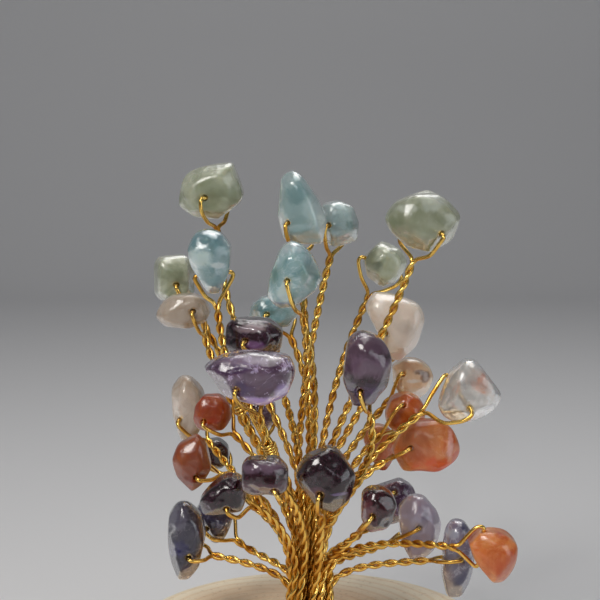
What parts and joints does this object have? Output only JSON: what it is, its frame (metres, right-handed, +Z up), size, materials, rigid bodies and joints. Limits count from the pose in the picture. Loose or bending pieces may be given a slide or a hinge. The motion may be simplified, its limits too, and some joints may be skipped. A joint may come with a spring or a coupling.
{
  "type": "gemstone tree ornament",
  "caption": "Small desk tree: drilled, tumbled gemstone chips on twisted gold wire stems that gather into a trunk set in a turned wooden disc",
  "frame": {"origin": "centre of the wooden disc's underside, on the trunk's axis", "axes": "+Z up along the trunk, +X to the right and -Y towards the viewer of the picture"},
  "size_m": [0.048, 0.046, 0.0668],
  "materials": {
    "wood": "sanded, satin",
    "gold_wire": "drawn, bright gold colour",
    "glue": "set clear, slightly yellow",
    "prehnite": "tumbled, polished, translucent pale green",
    "aquamarine": "tumbled, polished, translucent blue-green",
    "rose_quartz": "tumbled, polished, milky pink",
    "smoky_quartz": "tumbled, polished, smoky",
    "clear_quartz": "tumbled, polished, clear with veils",
    "carnelian": "tumbled, polished, translucent orange",
    "amethyst_light": "tumbled, polished, lilac",
    "amethyst_dark": "tumbled, polished, deep purple",
    "garnet": "tumbled, polished, dark red-purple",
    "fluorite": "tumbled, polished, grey-blue",
    "iolite": "tumbled, polished, dark blue with pale flecks"
  },
  "bodies": {
    "tree": {"wood_base": "wood", "glue_bed": "glue", "wire_prehnite_top_left": "gold_wire", "wire_aquamarine_pear": "gold_wire", "wire_prehnite_far_left": "gold_wire", "wire_aqua_drop": "gold_wire", "wire_teal_front": "gold_wire", "wire_prehnite_top_right": "gold_wire", "wire_prehnite_behind": "gold_wire", "wire_rose_quartz_lobed": "gold_wire", "wire_clear_quartz": "gold_wire", "wire_carnelian_large": "gold_wire", "wire_carnelian_behind": "gold_wire", "wire_amethyst_barrel": "gold_wire", "wire_amethyst_dark_box": "gold_wire", "wire_amethyst_great": "gold_wire", "wire_rose_quartz_left": "gold_wire", "wire_carnelian_low_left": "gold_wire", "wire_amethyst_small_box": "gold_wire", "wire_amethyst_great_dark": "gold_wire", "wire_amethyst_red": "gold_wire", "wire_fluorite_lilac": "gold_wire", "wire_iolite_long": "gold_wire", "wire_carnelian_far_right": "gold_wire", "wire_fluorite_banded": "gold_wire", "aqua_behind": "aquamarine", "teal_behind": "aquamarine", "rose_quartz_lobed": "rose_quartz", "smoky_quartz": "smoky_quartz", "carnelian_large": "carnelian", "carnelian_behind": "carnelian", "carnelian_peach": "carnelian", "amethyst_barrel": "amethyst_dark", "amethyst_dark_box": "amethyst_dark", "amethyst_great": "amethyst_light", "amethyst_lilac_tip": "amethyst_light", "rose_quartz_left": "rose_quartz", "carnelian_left": "carnelian", "garnet_behind": "garnet", "amethyst_small_box": "amethyst_dark", "amethyst_dark_left": "amethyst_dark", "amethyst_great_dark": "amethyst_dark", "amethyst_red": "garnet", "smoky_amethyst": "amethyst_light", "fluorite_lilac": "fluorite", "fluorite_grey": "fluorite"},
    "prehnite_top_left_body": {"prehnite_top_left": "prehnite"},
    "aquamarine_pear_body": {"aquamarine_pear": "aquamarine"},
    "prehnite_far_left_body": {"prehnite_far_left": "prehnite"},
    "rose_quartz_oval_body": {"rose_quartz_oval": "rose_quartz"},
    "aqua_drop_body": {"aqua_drop": "aquamarine"},
    "teal_front_body": {"teal_front": "aquamarine"},
    "prehnite_top_right_body": {"prehnite_top_right": "prehnite"},
    "prehnite_behind_body": {"prehnite_behind": "prehnite"},
    "clear_quartz_body": {"clear_quartz": "clear_quartz"},
    "carnelian_low_left_body": {"carnelian_low_left": "carnelian"},
    "iolite_long_body": {"iolite_long": "iolite"},
    "carnelian_far_right_body": {"carnelian_far_right": "carnelian"},
    "fluorite_banded_body": {"fluorite_banded": "fluorite"}
  },
  "joints": [
    {"name": "rock_prehnite_top_left", "type": "hinge", "parent": "tree", "child": "prehnite_top_left_body", "pos_m": [-0.01145, 0.0063, 0.06241], "axis": [0.4702, 0.8809, -0.055], "range_deg": [-12, 12]},
    {"name": "rock_aquamarine_pear", "type": "hinge", "parent": "tree", "child": "aquamarine_pear_body", "pos_m": [-0.01133, -0.0042, 0.05432], "axis": [0.9907, 0.0871, 0.1041], "range_deg": [-12, 12]},
    {"name": "rock_prehnite_far_left", "type": "hinge", "parent": "tree", "child": "prehnite_far_left_body", "pos_m": [-0.01616, 0.01024, 0.0514], "axis": [0.1911, 0.9815, 0.0094], "range_deg": [-12, 12]},
    {"name": "rock_rose_quartz_oval", "type": "hinge", "parent": "tree", "child": "rose_quartz_oval_body", "pos_m": [-0.01379, 0.003, 0.04904], "axis": [0.1799, 0.9837, 0.0018], "range_deg": [-12, 12]},
    {"name": "rock_aqua_drop", "type": "hinge", "parent": "tree", "child": "aqua_drop_body", "pos_m": [-0.00146, 0.00102, 0.05994], "axis": [0.5014, 0.8652, 0.0001], "range_deg": [-12, 12]},
    {"name": "rock_teal_front", "type": "hinge", "parent": "tree", "child": "teal_front_body", "pos_m": [-0.00213, -0.006, 0.05411], "axis": [0.2444, 0.9657, 0.0878], "range_deg": [-12, 12]},
    {"name": "rock_prehnite_top_right", "type": "hinge", "parent": "tree", "child": "prehnite_top_right_body", "pos_m": [0.01392, 0.00198, 0.05915], "axis": [-0.5475, 0.8188, 0.1726], "range_deg": [-12, 12]},
    {"name": "rock_prehnite_behind", "type": "hinge", "parent": "tree", "child": "prehnite_behind_body", "pos_m": [0.00937, 0.0129, 0.05314], "axis": [0.8335, 0.3398, -0.4356], "range_deg": [-12, 12]},
    {"name": "rock_clear_quartz", "type": "hinge", "parent": "tree", "child": "clear_quartz_body", "pos_m": [0.01716, -0.00498, 0.04093], "axis": [0.3982, -0.7054, -0.5864], "range_deg": [-12, 12]},
    {"name": "rock_carnelian_low_left", "type": "hinge", "parent": "tree", "child": "carnelian_low_left_body", "pos_m": [-0.01386, -0.0036, 0.03064], "axis": [-0.1961, 0.9532, 0.2299], "range_deg": [-12, 12]},
    {"name": "rock_iolite_long", "type": "hinge", "parent": "tree", "child": "iolite_long_body", "pos_m": [0.01879, 0.0018, 0.01804], "axis": [0.0493, 0.9842, -0.17], "range_deg": [-12, 12]},
    {"name": "rock_carnelian_far_right", "type": "hinge", "parent": "tree", "child": "carnelian_far_right_body", "pos_m": [0.02046, -0.0042, 0.02072], "axis": [-0.1317, 0.0868, -0.9875], "range_deg": [-12, 12]},
    {"name": "rock_fluorite_banded", "type": "hinge", "parent": "tree", "child": "fluorite_banded_body", "pos_m": [-0.01474, 0.0012, 0.01918], "axis": [0.0361, 0.9848, 0.1699], "range_deg": [-12, 12]}
  ]
}
